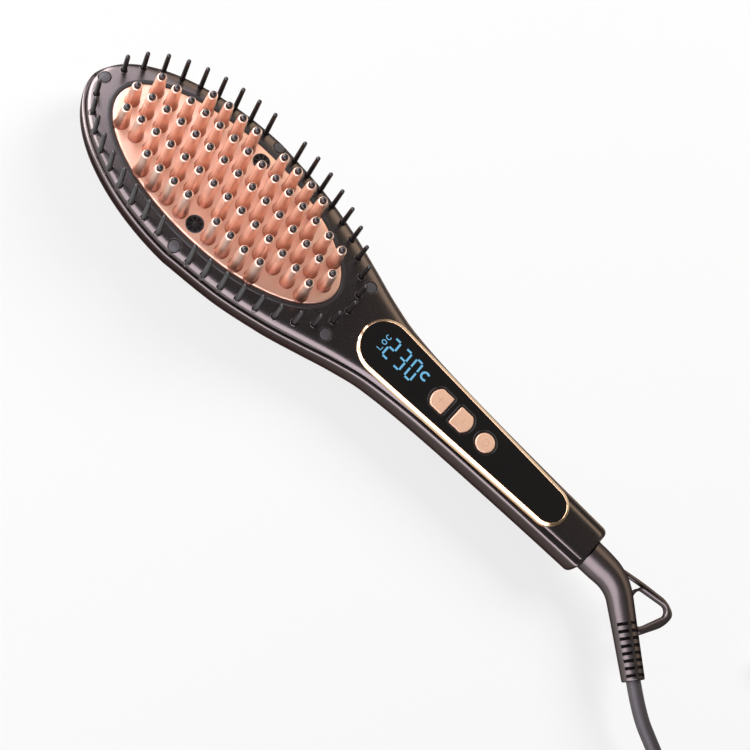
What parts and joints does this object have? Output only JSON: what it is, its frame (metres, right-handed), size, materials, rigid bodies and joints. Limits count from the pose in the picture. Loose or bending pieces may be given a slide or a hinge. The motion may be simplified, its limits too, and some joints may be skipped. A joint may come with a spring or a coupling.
{
  "type": "heated hair straightener brush",
  "caption": "Paddle-shaped heated hair brush with a finned metal plate, a ring of smooth pins, a keyed handle with a display and a swivel mains lead.",
  "frame": {"origin": "middle of the brush seen from above, on the table under the flat of its back", "axes": "+X from the head to the end of the handle, +Z out of the heating plate, +Y to the side"},
  "size_m": [0.4955, 0.126, 0.0498],
  "materials": {
    "shell_gloss": "glossy black",
    "rose_gold": "satin rose gold",
    "rose_button": "satin rose gold",
    "gold_trim": "polished pale gold",
    "tip_black": "glossy",
    "black_matte": "matt",
    "pin_dark": "satin",
    "seal_rubber": "satin",
    "lens": "polished",
    "display": "display",
    "board_green": "solder mask",
    "silicone_grey": "matt",
    "steel": "bright",
    "ceramic": "ceramic",
    "mica": "mica",
    "aluminium": "mill",
    "copper": "bright",
    "white_plastic": "matt",
    "cord_rubber": "matt",
    "wire_red": "matt"
  },
  "bodies": {
    "brush": {"back_shell": "shell_gloss", "front_shell": "shell_gloss", "trim_ring": "gold_trim", "panel_lens": "lens", "display_module": "display", "control_board": "board_green", "board_screws": "steel", "tact_switches": "black_matte", "keypad": "silicone_grey", "ion_generator": "black_matte", "heating_plate": "rose_gold", "fin_tips": "tip_black", "ceramic_heaters": "ceramic", "insulating_sheet": "mica", "heater_clamp": "aluminium", "clamp_screws": "steel", "thermistor": "ceramic", "thermal_fuse": "steel", "plate_seal": "seal_rubber", "plate_carrier": "white_plastic", "heat_shield": "mica", "ion_outlet_left": "tip_black", "ion_outlet_right": "tip_black", "ion_emitters": "white_plastic", "comb_ring": "pin_dark", "screw_plugs": "tip_black", "case_screws": "steel", "heater_leads": "wire_red", "ion_leads": "wire_red", "swivel_clamp_upper": "white_plastic", "swivel_clamp_lower": "white_plastic", "contact_springs": "copper", "contact_holder": "black_matte"},
    "plus_key": {"plus_button": "rose_button"},
    "minus_key": {"minus_button": "rose_button"},
    "power_key": {"power_button": "rose_button"},
    "swivel": {"swivel_core": "white_plastic", "slip_rings": "copper", "cord_boot": "cord_rubber", "cord_tube": "cord_rubber", "cord_coil": "cord_rubber", "cord_tail": "cord_rubber", "cord_tie": "black_matte", "mains_plug": "cord_rubber", "plug_pins": "steel"}
  },
  "joints": [
    {"name": "plus_press", "type": "slide", "parent": "brush", "child": "plus_key", "axis": [0, 0, -1], "range_m": [0, 0.0006], "stiffness_N_per_m": 400, "springref_m": -0.0005},
    {"name": "minus_press", "type": "slide", "parent": "brush", "child": "minus_key", "axis": [0, 0, -1], "range_m": [0, 0.0006], "stiffness_N_per_m": 400, "springref_m": -0.0005},
    {"name": "power_press", "type": "slide", "parent": "brush", "child": "power_key", "axis": [0, 0, -1], "range_m": [0, 0.0006], "stiffness_N_per_m": 400, "springref_m": -0.0005},
    {"name": "cord_swivel", "type": "hinge", "parent": "brush", "child": "swivel", "pos_m": [0.13322, 0, 0.0157], "axis": [1, 0, 0], "continuous": true}
  ]
}
